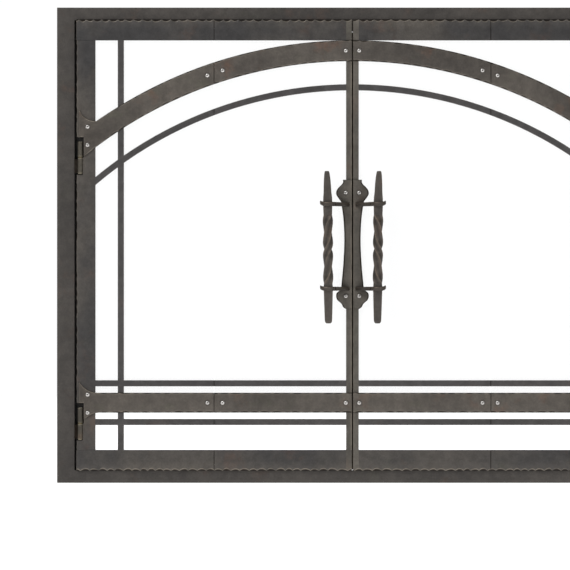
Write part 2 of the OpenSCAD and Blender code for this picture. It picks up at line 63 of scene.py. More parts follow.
# Sizes that the design shares with the CAD model
STRAP_W = 33.0
TIP_W = 1.2
TIP_RISE = 17.0
TIP_DROP = 11.0
ARCH_TIP_H = 43.5
ARCH_FLARE_RUN = 25.5
ARCH_FLARE_PAST = 10.0
NOTCH_ABOVE_SPLIT = 34.0
KNUCKLE_LEN = 27.0
PIN_REACH = 24.0
BARREL_R = 4.0
SLIM_W = 10.0
ARCH_Z = -5.3
ARCH_BAND_W = 34.6
SLIM_ARCH_DROP = 72.6
LUG = (9.0, 12.0)
FACE_T = 5.0
RETURN_T = 4.0
STOP_TAB_W = 12.0
STOP_TAB_T = 3.0
STRIP_STAND_OFF = 1.3
STRIP_T = 1.5
STRIP_PAST_GAP = 1.5
STRIP_ROOT = 2.7
SEAM_CLOSE = 0.15
HEAD_R = 3.4
HEAD_H = 2.3
DOME_R = 4.6
# The seat ring is painted dark to stand for the shadow round a screw head
SEAT_SHADOW_R = HEAD_R + 1.0
SOCKET_R = 1.2
SOCKET_DEPTH = 1.2

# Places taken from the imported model
JAMB = edges("left_jamb")
HEAD = edges("frame_head")
SILL = edges("frame_sill")
STILE = edges("left_hinge_stile")
OUTER_RAIL = edges("left_outer_bottom_rail")
INNER_RAIL = edges("left_inner_bottom_rail")
TOP_RAIL = edges("left_outer_top_rail")
LOWER_STRAP = edges("left_outer_lower_strap")
INNER_STRAP = edges("left_inner_lower_strap")
ARCH_STRAP = edges("left_outer_arch_strap")
UPRIGHT = edges("left_slim_upright")
SLIM_BARS = edges("left_outer_slim_bars")
PINS = edges("hinge_pins")
BAR = edges("left_handle_bar")
ARMS = edges("left_handle_arms")

PLATE_FRONT, PLATE_BACK = STILE[2], STILE[3]
STRAP_FRONT, STRAP_BACK = LOWER_STRAP[2], LOWER_STRAP[3]
MEETING_X = INNER_STRAP[1]
HEAD_FACE_Z = HEAD[5] - (SILL[5] - SILL[4])
SPLITS = (PINS[4] + PIN_REACH, PINS[5] - PIN_REACH)
HINGE_X = next(j for j in frame["joints"] if j["name"] == "left_door")["pos_m"][0] / MM
HINGE_Y = next(j for j in frame["joints"] if j["name"] == "left_door")["pos_m"][1] / MM
BARREL_EDGE_X = HINGE_X + BARREL_R + 0.12
NOTCH_X = HINGE_X + BARREL_R + 2
NOTCH_EDGE = (NOTCH_X - 0.08, NOTCH_X + 0.08)
ARCH_R1 = TOP_RAIL[4] - ARCH_Z
ARCH_R0 = ARCH_R1 - ARCH_BAND_W
SLIM_R1 = ARCH_R1 - SLIM_ARCH_DROP
SLIM_R0 = SLIM_R1 - SLIM_W
STRAP_MID_Z = (INNER_STRAP[4] + INNER_STRAP[5]) / 2


def on_arch(radius, x):
    """Height of a point of an arch, at a place across the screen."""
    return ARCH_Z + math.sqrt(radius * radius - x * x)


# ---- materials ----


class Nodes:
    """A new material's node tree, with short calls for what the materials below share."""

    def __init__(self, name):
        self.material = bpy.data.materials.new(name)
        self.material.use_nodes = True
        self.tree = self.material.node_tree
        self.tree.nodes.clear()
        self.shader = self.add("ShaderNodeBsdfPrincipled")
        out = self.add("ShaderNodeOutputMaterial")
        self.link(self.shader.outputs["BSDF"], out.inputs["Surface"])
        self.place = self.add("ShaderNodeTexCoord").outputs["Object"]

    def add(self, kind):
        return self.tree.nodes.new(kind)

    def link(self, source, target):
        self.tree.links.new(source, target)

    def noise(self, scale, detail=4.0, rough=0.55, stretch=(1, 1, 1), shift=None):
        """A noise value; scale is in features per metre, and shift moves the pattern per piece."""
        mapping = self.add("ShaderNodeMapping")
        mapping.inputs["Scale"].default_value = stretch
        self.link(self.place, mapping.inputs["Vector"])
        vector = mapping.outputs["Vector"]
        if shift is not None:
            moved = self.add("ShaderNodeVectorMath")
            moved.operation = "ADD"
            self.link(vector, moved.inputs[0])
            self.link(shift, moved.inputs[1])
            vector = moved.outputs["Vector"]
        node = self.add("ShaderNodeTexNoise")
        node.inputs["Scale"].default_value = scale
        node.inputs["Detail"].default_value = detail
        node.inputs["Roughness"].default_value = rough
        self.link(vector, node.inputs["Vector"])
        return node.outputs["Fac"]

    def attribute(self, name):
        node = self.add("ShaderNodeAttribute")
        node.attribute_name = name
        return node.outputs["Fac"]

    def between(self, value, low, high, to_low=0.0, to_high=1.0):
        """value, mapped from one range to another and held inside it."""
        node = self.add("ShaderNodeMapRange")
        node.interpolation_type = "SMOOTHSTEP"
        for socket, number in zip(("From Min", "From Max", "To Min", "To Max"), (low, high, to_low, to_high)):
            node.inputs[socket].default_value = number
        self.link(value, node.inputs["Value"])
        return node.outputs["Result"]

    def math(self, operation, a, b):
        node = self.add("ShaderNodeMath")
        node.operation = operation
        for socket, value in zip(node.inputs, (a, b)):
            if isinstance(value, (int, float)):
                socket.default_value = value
            else:
                self.link(value, socket)
        return node.outputs["Value"]

    def mix(self, factor, a, b, blend="MIX"):
        """A mix of two colours, each a socket or (r, g, b)."""
        node = self.add("ShaderNodeMix")
        node.data_type = "RGBA"
        node.blend_type = blend
        if isinstance(factor, (int, float)):
            node.inputs["Factor"].default_value = factor
        else:
            self.link(factor, node.inputs["Factor"])
        for socket, colour in ((node.inputs[6], a), (node.inputs[7], b)):
            if isinstance(colour, tuple):
                socket.default_value = (*colour, 1.0)
            else:
                self.link(colour, socket)
        return node.outputs[2]

    def grey(self, value):
        """A value as a grey colour."""
        node = self.add("ShaderNodeCombineColor")
        for socket in node.inputs:
            self.link(value, socket)
        return node.outputs["Color"]

    def bump(self, height, strength, distance_mm, under=None):
        node = self.add("ShaderNodeBump")
        node.inputs["Strength"].default_value = strength
        node.inputs["Distance"].default_value = distance_mm * MM
        self.link(height, node.inputs["Height"])
        if under is not None:
            self.link(under, node.inputs["Normal"])
        return node.outputs["Normal"]


def bronze(name, dark, light, rub_and_highlight, warm, olive):
    """Patinated forged steel: cloudy bronze, rust and olive patches, worn arrises with painted highlights on
    a few, and painted shade in hammered hollows, gaps and undersides.
    """
    n = Nodes(name)
    shift = n.add("ShaderNodeCombineXYZ")
    tone = n.attribute("tone")
    for socket, factor in zip(shift.inputs, (3.1, 5.7, 2.3)):
        n.link(n.math("MULTIPLY", tone, factor), socket)
    shift = shift.outputs["Vector"]
    clouds = n.between(n.noise(6, 4, 0.55, shift=shift), 0.36, 0.64)
    colour = n.mix(clouds, dark, light)
    mottle = n.between(n.noise(70, 4, 0.65, shift=shift), 0.3, 0.7, 0.86, 1.16)
    colour = n.mix(1.0, colour, n.grey(mottle), "MULTIPLY")
    rust = n.math("MULTIPLY", n.between(n.noise(16, 6, 0.65, shift=shift), 0.55, 0.72), warm)
    colour = n.mix(rust, colour, (0.150, 0.072, 0.042))
    patina = n.noise(21, 6, 0.6, shift=shift, stretch=(1, 1, 1.7))
    green = n.math("MULTIPLY", n.between(patina, 0.56, 0.74), olive)
    colour = n.mix(green, colour, (0.085, 0.090, 0.055))
    grain = n.noise(900, 3, 0.6)
    speck = n.between(n.noise(320, 3, 0.7, shift=shift), 0.35, 0.75, 0.90, 1.10)
    colour = n.mix(1.0, colour, n.grey(speck), "MULTIPLY")
    uneven = n.between(n.noise(120, 3, 0.6, shift=shift), 0.2, 0.7, 0.8, 1.0)
    # Painted shade: the fifth vertex value darkens the colour where shade falls
    grime = n.math("MULTIPLY", n.attribute("grime"), uneven)
    colour = n.mix(grime, colour, (0.016, 0.012, 0.009))
    patchy = n.between(n.noise(55, 3, 0.6, shift=shift), 0.28, 0.62, 0.25, 1.0)
    # Rubbed-bright arrises, with painted highlights on some edges, from the fourth vertex value
    wear = n.math("MULTIPLY", n.attribute("wear"), patchy)
    colour = n.mix(wear, colour, rub_and_highlight)
    n.link(colour, n.shader.inputs["Base Color"])
    # Painted shade also dims the reflection
    n.link(n.math("SUBTRACT", 0.5, n.math("MULTIPLY", grime, 0.48)), n.shader.inputs["Specular IOR Level"])
    n.shader.inputs["Metallic"].default_value = 0.45
    roughness = n.between(n.noise(60, 5, 0.65, shift=shift), 0.3, 0.7, 0.40, 0.58)
    n.link(roughness, n.shader.inputs["Roughness"])
    dents = n.bump(n.noise(95, 2, 0.5, shift=shift), 0.5, 0.35)
    n.link(n.bump(grain, 0.35, 0.08, dents), n.shader.inputs["Normal"])
    return n.material


def steel(name, colour, low, high):
    """Bare or plated steel with fine turning marks."""
    n = Nodes(name)
    clouds = n.between(n.noise(260, 4, 0.6), 0.3, 0.7, 0.82, 1.05)
    n.link(n.mix(1.0, colour, n.grey(clouds), "MULTIPLY"), n.shader.inputs["Base Color"])
    n.shader.inputs["Metallic"].default_value = 1.0
    n.link(n.between(n.noise(420, 3, 0.6), 0.3, 0.7, low, high), n.shader.inputs["Roughness"])
    n.link(n.bump(n.noise(1500, 2, 0.5), 0.3, 0.03), n.shader.inputs["Normal"])
    return n.material


def black_paint(name):
    """Matte black stove paint with a fine orange-peel texture and some dust; on the jamb baffles it is
    painted shade for the gaps beside the doors.
    """
    n = Nodes(name)
    dust = n.between(n.noise(45, 5, 0.65), 0.4, 0.8, 0.0, 0.35)
    n.link(n.mix(dust, (0.008, 0.007, 0.006), (0.022, 0.019, 0.016)), n.shader.inputs["Base Color"])
    n.link(n.between(n.noise(200, 4, 0.6), 0.3, 0.7, 0.62, 0.82), n.shader.inputs["Roughness"])
    n.link(n.bump(n.noise(700, 3, 0.6), 0.4, 0.1), n.shader.inputs["Normal"])
    return n.material


def clear_glass(name):
    """Clear tempered glass: almost no colour, with faint waviness in its gloss."""
    n = Nodes(name)
    haze = n.between(n.noise(14, 3, 0.5), 0.3, 0.7)
    n.link(n.mix(haze, (0.93, 0.97, 0.96), (0.96, 0.985, 0.98)), n.shader.inputs["Base Color"])
    n.shader.inputs["Roughness"].default_value = 0.03
    n.shader.inputs["IOR"].default_value = 1.5
    n.shader.inputs["Alpha"].default_value = 0.06
    n.link(n.bump(n.noise(5, 2, 0.4), 0.25, 0.4), n.shader.inputs["Normal"])
    return n.material


# Colours of rubbed edges; the first two also colour painted highlights, on the meeting edges and on the
# handle arms' top bevels
WORN_AND_HIGHLIGHT = (0.30, 0.26, 0.21)
WORN_HANDLE_AND_HIGHLIGHT = (0.17, 0.125, 0.09)
WORN_HINGE = (0.24, 0.21, 0.15)

# Bronze finishes: dark and light clouds, colour of worn edges and painted highlights, share of rust, share of
# olive
BRONZES = {
    "frame_bronze": ((0.048, 0.043, 0.039), (0.062, 0.055, 0.049), WORN_AND_HIGHLIGHT, 0.22, 0.10),
    "leaf_bronze": ((0.038, 0.036, 0.036), (0.073, 0.065, 0.057), WORN_AND_HIGHLIGHT, 0.20, 0.12),
    "slim_bronze": ((0.050, 0.047, 0.047), (0.062, 0.058, 0.057), WORN_AND_HIGHLIGHT, 0.10, 0.05),
    # A lighter copy of the leaf bronze, with more olive patina, for the meeting stiles and backplates: the
    # extra lightness is painted light for the brighter centre
    "plate_bronze": ((0.079, 0.071, 0.060), (0.104, 0.093, 0.079), WORN_AND_HIGHLIGHT, 0.22, 0.30),
    "strap_bronze": ((0.060, 0.052, 0.045), (0.092, 0.080, 0.068), WORN_AND_HIGHLIGHT, 0.42, 0.25),
    "handle_bronze": ((0.050, 0.044, 0.040), (0.074, 0.064, 0.055), WORN_HANDLE_AND_HIGHLIGHT, 0.3, 0.2),
    "hinge_bronze": ((0.054, 0.047, 0.037), (0.080, 0.070, 0.054), WORN_HINGE, 0.25, 0.2),
}
FINISH = {name: bronze(name, *look) for name, look in BRONZES.items()}
FINISH.update({
    "bright_steel": steel("bright_steel", (0.60, 0.58, 0.56), 0.36, 0.46),
    "zinc_steel": steel("zinc_steel", (0.50, 0.51, 0.52), 0.38, 0.55),
    "brass": steel("brass", (0.14, 0.11, 0.06), 0.4, 0.55),
    "black_steel": black_paint("black_steel"),
    "clear_glass": clear_glass("clear_glass"),
})
# Dark steel painted on screw seat rings and sockets as shade
SCREW_PAINTED_SHADE = steel("screw_painted_shade", (0.10, 0.09, 0.08), 0.45, 0.6)


# ---- mesh building ----

# A vertex is (x, y, z, wear, shade): the fourth value is 1 where the patina is rubbed bright, and on a few
# edges it paints a highlight; the fifth is painted shade, 1 where shade is painted into hollows, gaps, seams
# and undersides.


def rng(name):
    """A random source that depends only on a name."""
    return random.Random(zlib.crc32(name.encode()))


def loft_faces(mesh, rings):
    """Joins closed rings of vertices with quads and closes both ends."""
    made = [[mesh.verts.new((x * MM, y * MM, z * MM)) for x, y, z, _, _ in ring] for ring in rings]
    wear = mesh.verts.layers.float["wear"]
    grime = mesh.verts.layers.float["grime"]
    for verts, ring in zip(made, rings):
        for vert, point in zip(verts, ring):
            vert[wear] = point[3]
            vert[grime] = point[4]
    count = len(rings[0])
    for a, b in zip(made, made[1:]):
        for i in range(count):
            j = (i + 1) % count
            mesh.faces.new((a[i], a[j], b[j], b[i]))
    mesh.faces.new(made[0][::-1])
    mesh.faces.new(made[-1])


def finish_piece(name, mesh, side, body, nodes, finish, sharp_deg=38):
    """Turns a bmesh into a piece that rides on a body and stands for CAD nodes."""
    if side < 0:
        bmesh.ops.scale(mesh, vec=(-1, 1, 1), verts=mesh.verts)
    bmesh.ops.recalc_face_normals(mesh, faces=mesh.faces)
    data = bpy.data.meshes.new(name)
    mesh.to_mesh(data)
    mesh.free()
    tone = data.attributes.new("tone", "FLOAT", "POINT")
    value = rng(finish + str(side)).random()
    tone.data.foreach_set("value", [value] * len(data.vertices))
    data.polygons.foreach_set("use_smooth", [True] * len(data.polygons))
    data.set_sharp_from_angle(angle=math.radians(sharp_deg))
    data.materials.append(FINISH[finish])
    piece = bpy.data.objects.new(name, data)
    bpy.context.scene.collection.objects.link(piece)
    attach(piece, body)
    if nodes:
        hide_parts(*nodes)
    return piece


def new_mesh():
    mesh = bmesh.new()
    mesh.verts.layers.float.new("wear")
    mesh.verts.layers.float.new("grime")
    return mesh


def build(name, shells, side, body, nodes, finish, sharp_deg=38):
    """A piece made of lofted shells."""
    mesh = new_mesh()
    for rings in shells:
        loft_faces(mesh, rings)
    return finish_piece(name, mesh, side, body, nodes, finish, sharp_deg)


class Hammer:
    """A chain of hammer marks along an edge: arcs of uneven pitch and depth that meet in points."""

    def __init__(self, name, length, pitch, depth):
        source = rng(name)
        self.marks = []
        place = -source.uniform(0, pitch[0])
        while place < length:
            width = source.uniform(*pitch)
            deep = source.uniform(*depth)
            lean = source.uniform(-0.22, 0.22)
            self.marks.append((place, width, deep, lean))
            place += width

    def depth(self, s):
        """How far the front arris is driven in at distance s along the edge."""
        for start, width, deep, lean in self.marks:
            if start <= s < start + width:
                t = 2 * (s - start) / width - 1
                t = t + lean * (1 - t * t)
                return deep * (1 - t * t) ** 0.85 + 0.15
        return 0.0


class Rim:
    """How one long edge of a bar is finished: its hammering, its bevel, its wear and the shade painted on its
    bevel.

    hollow_wear is the share of the wear that is left in a hammer mark as deep as the chain's usual depth.
    """

    def __init__(self, chain=None, bevel=0.2, wear=0.0, grime=0.0, fade=None, hollow_wear=0.6, deep=2.4):
        self.chain = chain
        self.bevel = bevel
        self.wear = wear
        self.grime = grime
        self.fade = fade or (lambda u: 1.0)
        self.hollow_wear = hollow_wear
        self.deep = deep

    def dent(self, s, u):
        return self.chain(s, u) * self.fade(u) if self.chain else 0.0


PLAIN = Rim()
SLIM = Rim(bevel=0.3, wear=0.12)

# How a bar's end is finished: setback of the front face, wear, painted shade; a seam end is painted dark for
# the shade in the gap between leaves
ENDS = {"free": (0.45, 0.8, 0.0), "seam": (0.6, 0.0, 1.0), "joined": (0.0, 0.0, 0.0)}
SEAM_PAINTED_SHADE = 0.55


def edge_profile(v, sign, front, back, dent, rim):
    """Points from the back of an edge, over its arris, onto the front face: (v, y, wear, shade); shade is
    painted on the bar's side, deepest in the hammer hollows.
    """
    t = back - front
    bevel = rim.bevel
    # Painted shade in the hammer hollows, growing with the dent's depth
    dark = min(1.0, dent / 1.6)
    cusp = 1.0 - (1.0 - rim.hollow_wear) * min(1.0, dent / rim.deep)
    rub_and_highlight = rim.wear * cusp
    return [
        # The bar's side gets painted shade all along
        (v, back, 0.0, 0.25),
        (v + sign * 0.10 * dent, back - 0.20 * t, 0.0, 0.25 + 0.45 * dark),
        (v + sign * (0.56 * dent + 0.03), back - 0.58 * t, 0.0, 0.20 + 0.65 * dark),
        (
            v + sign * (0.94 * dent + 0.15 * bevel), front + bevel,
            0.35 * rub_and_highlight, max(rim.grime, 0.15 + 0.5 * dark),
        ),
        (v + sign * (dent + bevel), front + 0.12 * bevel, rub_and_highlight, rim.grime),
        (v + sign * (dent + bevel + 0.8), front, 0.12 * rub_and_highlight, 0.0),
    ]


def ribbon(stations, front, back, low=PLAIN, high=PLAIN, upright=False, ends=("free", "free")):
    """Rings of a flat bar. stations are (u, v low, v high); low and high say how its long edges are finished.

    u runs along the bar and v across it: u is x and v is z, or the other way round for an upright bar.
    """
    rings = []
    run_low = run_high = 0.0
    previous = stations[0]
    last = len(stations) - 1
    for i, (u, v0, v1) in enumerate(stations):
        run_low += math.hypot(u - previous[0], v0 - previous[1])
        run_high += math.hypot(u - previous[0], v1 - previous[2])
        before, after = stations[max(0, i - 1)], stations[min(last, i + 1)]
        step = max(1e-6, after[0] - before[0])
        lean0 = min(2.0, math.hypot(1, (after[1] - before[1]) / step))
        lean1 = min(2.0, math.hypot(1, (after[2] - before[2]) / step))
        room = (v1 - v0) / 2 - 1.6
        dent0 = min(room, low.dent(run_low, u) * lean0)
        dent1 = min(room, high.dent(run_high, u) * lean1)
        setback, end_wear, end_painted_shade = ENDS[ends[0 if i == 0 else 1]] if i in (0, last) else (0.0, 0.0, 0.0)
        # The front face next to a seam also gets painted shade
        if i in (1, last - 1) and ends[0 if i == 1 else 1] == "seam":
            end_painted_shade = SEAM_PAINTED_SHADE
        face = front + setback
        one = edge_profile(v0, 1, face, back, max(0.0, dent0), low)
        two = edge_profile(v1, -1, face, back, max(0.0, dent1), high)
        loop = one + [((v0 + v1) / 2, face, 0.0, 0.0)] + two[::-1]
        ring = []
        for v, y, wear, grime in loop:
            if y < (front + back) / 2:
                wear, grime = max(wear, end_wear), max(grime, end_painted_shade)
            ring.append((v, y, u, wear, grime) if upright else (u, y, v, wear, grime))
        rings.append(ring)
        previous = (u, v0, v1)
    return rings


def grimy(rings, grime):
    """The same rings, darkened all over with painted shade and with no wear."""
    return [[(x, y, z, 0.0, grime) for x, y, z, _, _ in ring] for ring in rings]


def spans(u0, u1, step=1.3, breaks=()):
    """Places along a bar, closer at its ends for a small bevel, with the breaks among them."""
    marks = [u0, u0 + 0.4, u0 + 0.9]
    count = max(1, int((u1 - u0) / step))
    marks += [u0 + (u1 - u0) * i / count for i in range(1, count)]
    marks += [u1 - 0.9, u1 - 0.4, u1]
    marks += list(breaks)
    marks = sorted(m for m in marks if u0 <= m <= u1)
    kept = [marks[0]]
    for m in marks[1:]:
        if m - kept[-1] > 0.05:
            kept.append(m)
    kept[-1] = u1
    return kept


def plain(u0, u1, v0, v1, step=40.0):
    """Stations of a straight bar."""
    return [(u, v0, v1) for u in spans(u0, u1, step)]


# ---- frame ----


def make_frame():
    """Angle-section frame: face flanges with the corners ground flush, return flanges, and the stop tab."""
    front = JAMB[2]
    joined = ("joined", "joined")
    for name, side in SIDES:
        face = ribbon(plain(JAMB[4], JAMB[5], JAMB[0], JAMB[1]), front, front + FACE_T, SLIM, upright=True)
        flange = plain(JAMB[4], JAMB[5], JAMB[1] - RETURN_T, JAMB[1] - 0.05)
        back = ribbon(flange, front + FACE_T - 1, JAMB[3], upright=True)
        build(name + "_jamb_angle", [face, back], side, "frame", [name + "_jamb"], "frame_bronze")
    for node, low, high, rims in (
        ("frame_head", HEAD_FACE_Z, HEAD[5], (PLAIN, SLIM)), ("frame_sill", SILL[4], SILL[5], (SLIM, PLAIN)),
    ):
        x0, x1 = SILL[0], SILL[1]
        shells = [
            ribbon(plain(x0 - 0.25, x1 + 0.25, low, high), front, front + FACE_T, *rims, ends=joined),
            ribbon(plain(x0, x1, low, low + RETURN_T), front + FACE_T - 1, SILL[3]),
        ]
        if node == "frame_head":
            tab = plain(-STOP_TAB_W / 2, STOP_TAB_W / 2, HEAD[4], low + 1)
            shells.append(ribbon(tab, front, front + STOP_TAB_T))
        build(node + "_angle", shells, 1, "frame", [node], "frame_bronze")


# ---- leaves ----


def hinge_notch(z):
    """True where the hinge stile is cut away for a barrel hinge."""
    return any(split - KNUCKLE_LEN - 1 <= z <= split + NOTCH_ABOVE_SPLIT for split in SPLITS)


def stile_stations():
    """Stations of the hinge stile, with a step at both ends of each notch."""
    steps = []
    for split in SPLITS:
        for z in (split - KNUCKLE_LEN - 1, split, split + NOTCH_ABOVE_SPLIT):
            steps += [z - 0.1, z + 0.1]
    stations = []
    for z in spans(STILE[4], STILE[5], 1.3, steps):
        left = STILE[0]
        if hinge_notch(z):
            above_split = any(0 < z - split < 40 for split in SPLITS)
            left = NOTCH_X if above_split else BARREL_EDGE_X
        stations.append((z, left, STILE[1]))
    return stations


def chain_along(name, start, length, pitch, depth):
    """Hammer marks placed by distance from a start point, so that neighbouring bars share one chain."""
    marks = Hammer(name, length, pitch, depth)
    return lambda s, u: marks.depth(u - start)


def make_stiles_and_rails(name, side):
    """Stiles and rails, welded and ground flush, with the leaf's outer edges hammered in one chain."""
    outer, inner = name + "_outer_leaf", name + "_inner_leaf"
    low, rail_top = STILE[4], OUTER_RAIL[5]
    rail_low, high = TOP_RAIL[4], STILE[5]
    span = -STILE[0]
    bottom_chain = chain_along(name + "bottom", STILE[0], span, (11.5, 17), (3.0, 4.3))
    top_chain = chain_along(name + "top", STILE[0], span, (11.5, 17), (2.8, 4.0))
    bottom = Rim(bottom_chain, bevel=0.6, wear=1.0, hollow_wear=0.75, deep=3.6)
    top = Rim(top_chain, bevel=0.6, wear=0.8, hollow_wear=0.75, deep=3.6)
    side_chain = chain_along(name + "stile", low, high - low, (11, 19), (0.5, 1.7))
    left = Rim(side_chain, bevel=0.35, wear=0.45, fade=lambda z: 0.0 if hinge_notch(z) else 1.0)
    joined = ("joined", "joined")

    def rail(x0, x1, ends, is_top):
        v0, v1, rims = (rail_low, high, (PLAIN, top)) if is_top else (low, rail_top, (bottom, PLAIN))
        return ribbon([(x, v0, v1) for x in spans(x0, x1)], PLATE_FRONT, PLATE_BACK, *rims, ends=ends)

    upright = [s for s in stile_stations() if rail_top <= s[0] <= rail_low]
    shells = [
        ribbon(upright, PLATE_FRONT, PLATE_BACK, left, PLAIN, upright=True, ends=joined),
        rail(STILE[0], STILE[1], ("free", "joined"), False),
        rail(STILE[0], STILE[1], ("free", "joined"), True),
    ]
    build(name + "_forged_hinge_stile", shells, side, outer, [name + "_hinge_stile"], "leaf_bronze")
    outer_end, inner_start = OUTER_RAIL[1] + SEAM_CLOSE, INNER_RAIL[0] - SEAM_CLOSE
    for leaf, x0, x1, ends in (
        ("outer", OUTER_RAIL[0], outer_end, ("joined", "seam")),
        ("inner", inner_start, INNER_RAIL[1], ("seam", "joined")),
    ):
        for is_top, row in ((False, "bottom_rail"), (True, "top_rail")):
            build(
                f"{name}_{leaf}_forged_{row}", [rail(x0, x1, ends, is_top)], side, f"{name}_{leaf}_leaf",
                [f"{name}_{leaf}_{row}"], "leaf_bronze",
            )

    meeting = plain(rail_top, rail_low, INNER_RAIL[1], MEETING_X)
    # Worn meeting edge; the left leaf's is much brighter, a painted highlight for light from the right
    edge = Rim(bevel=0.6, wear=1.0 if side > 0 else 0.4)
    shells = [
        ribbon(meeting, PLATE_FRONT, PLATE_BACK, PLAIN, edge, upright=True, ends=joined),
        rail(INNER_RAIL[1], MEETING_X, ("joined", "free"), False),
        rail(INNER_RAIL[1], MEETING_X, ("joined", "free"), True),
    ]
    for x, z in inner_screws():
        if x > INNER_RAIL[1] - 4:
            lug = plain(z - LUG[1] / 2, z + LUG[1] / 2, INNER_RAIL[1] - LUG[0], INNER_RAIL[1])
            shells.append(ribbon(lug, PLATE_FRONT + 0.1, PLATE_BACK - 0.1, upright=True))
    if side > 0:
        shells += stop_strip()
    piece = name + "_forged_meeting_stile"
    build(piece, shells, side, inner, [name + "_meeting_stile"], "plate_bronze")


def stop_strip():
    """The strip behind the gap between the doors, darkened with painted shade so the gap reads dark, and its
    root on the left stile.
    """
    z0, z1 = SILL[5] + 1, HEAD[4] - 1
    front = PLATE_BACK + STRIP_STAND_OFF
    root = plain(z0, z1, MEETING_X - STRIP_ROOT, MEETING_X)
    strip = plain(z0, z1, MEETING_X - 0.1, STRIP_PAST_GAP - MEETING_X)
    return [
        ribbon(root, PLATE_BACK - 0.5, front + STRIP_T, upright=True),
        # Painted shade on the strip seen through the gap between the doors
        grimy(ribbon(strip, front, front + STRIP_T, upright=True), 0.85),
    ]


def make_slim_bars(name, side):
    """Slim square-edged bars: two straight ones and the slim arch on each leaf, and the upright."""
    low_z = SLIM_BARS[4]
    high_z = 2 * STRAP_MID_Z - low_z - SLIM_W
    for leaf, x0, x1, ends in (
        ("outer", OUTER_RAIL[0] - 0.1, OUTER_RAIL[1] + SEAM_CLOSE, ("joined", "seam")),
        ("inner", INNER_RAIL[0] - SEAM_CLOSE, INNER_RAIL[1] + 0.1, ("seam", "joined")),
    ):
        arch = [(x, on_arch(SLIM_R0, x), on_arch(SLIM_R1, x)) for x in spans(x0, x1, 3.0)]
        straight = [plain(x0, x1, z, z + SLIM_W) for z in (low_z, high_z)]
        shells = [ribbon(bar, PLATE_FRONT, PLATE_BACK, SLIM, SLIM, ends=ends) for bar in straight + [arch]]
        build(
            f"{name}_{leaf}_forged_slim_bars", shells, side, f"{name}_{leaf}_leaf",
            [f"{name}_{leaf}_slim_bars"], "slim_bronze",
        )
    stations = plain(UPRIGHT[4] - 0.1, UPRIGHT[5] + 0.1, UPRIGHT[0], UPRIGHT[1])
    upright = ribbon(
        stations, PLATE_FRONT + 0.12, PLATE_BACK - 0.12, SLIM, SLIM, upright=True, ends=("joined", "joined"),
    )
    piece, leaf = name + "_forged_slim_upright", name + "_outer_leaf"
    build(piece, [upright], side, leaf, [name + "_slim_upright"], "slim_bronze")


# ---- straps ----


def hollow(run, rise, u):
    """Height above a strap's edge of the hollow curve that draws out to a tip, at distance u past the tip."""
    if u >= run:
        return 0.0
    radius = (run * run + rise * rise) / (2 * rise)
    return radius - math.sqrt(max(0.0, radius * radius - (run - max(0.0, u)) ** 2))


def lower_strap_stations():
    """Stations of the lower strap's outer length, with its pointed hinge end."""
    x0, x1 = LOWER_STRAP[0], LOWER_STRAP[1] + SEAM_CLOSE
    top, low = STRAP_MID_Z + STRAP_W / 2, STRAP_MID_Z - STRAP_W / 2
    notch_z = SPLITS[0] + NOTCH_ABOVE_SPLIT
    run, low_run = STILE[1] + 5 - x0 - TIP_W, STILE[1] + 7 - NOTCH_X - TIP_W
    stations = []
    for x in spans(x0, x1, 1.1, NOTCH_EDGE + (x0 + TIP_W, NOTCH_X + TIP_W)):
        upper = top + hollow(run, TIP_RISE, x - x0 - TIP_W)
        lower = notch_z if x < NOTCH_X else low - hollow(low_run, TIP_DROP, x - NOTCH_X - TIP_W)
        stations.append((x, lower, upper))
    return stations


def arch_strap_stations():
    """Stations of the arch strap's outer length: the lower edge keeps to the arch down to its tip."""
    x0, x1 = ARCH_STRAP[0], ARCH_STRAP[1] + SEAM_CLOSE
    notch_z = SPLITS[1] + NOTCH_ABOVE_SPLIT
    dip_x, dip_z = x0 + TIP_W + ARCH_FLARE_RUN, notch_z + ARCH_TIP_H - TIP_RISE
    radius = (ARCH_FLARE_RUN ** 2 + TIP_RISE ** 2) / (2 * TIP_RISE)
    stations = []
    for x in spans(x0, x1, 1.1, NOTCH_EDGE + (x0 + TIP_W,)):
        upper = on_arch(ARCH_R1, x)
        if x < dip_x + ARCH_FLARE_PAST:
            across = max(x0 + TIP_W, x) - dip_x
            upper = max(upper, dip_z + radius - math.sqrt(radius * radius - across * across))
        lower = notch_z if x < NOTCH_X else on_arch(ARCH_R0, x)
        stations.append((x, lower, upper))
    return stations


def sooted(rings):
    """The same rings, with painted shade that grows towards the hinge."""
    clear_x = STILE[1] + 40
    return [
        [(x, y, z, w, max(g, 0.24 * min(1.0, max(0.0, (clear_x - x) / 60)))) for x, y, z, w, g in ring]
        for ring in rings
    ]


def burr(x, z0, z1, wear=1.0):
    """The bright burr along an upright edge of a strap's hinge end: at its notch, or at its own end."""
    edge = plain(z0, z1, x - 0.1, x + 1.8)
    return ribbon(edge, STRAP_FRONT - 0.05, STRAP_BACK, Rim(bevel=1.0, wear=wear), PLAIN, upright=True)


def hammered(label, length, depth, wear, from_x=None):
    """An edge hammered along its own length, starting smoothly at from_x if that is given."""
    marks = Hammer(label, length, (13, 21), depth)
    fade = None if from_x is None else lambda x: min(1.0, max(0.0, (x - from_x) / 8))
    return Rim(lambda s, u: marks.depth(s), bevel=0.85, wear=wear, fade=fade, hollow_wear=0.3, deep=1.2)


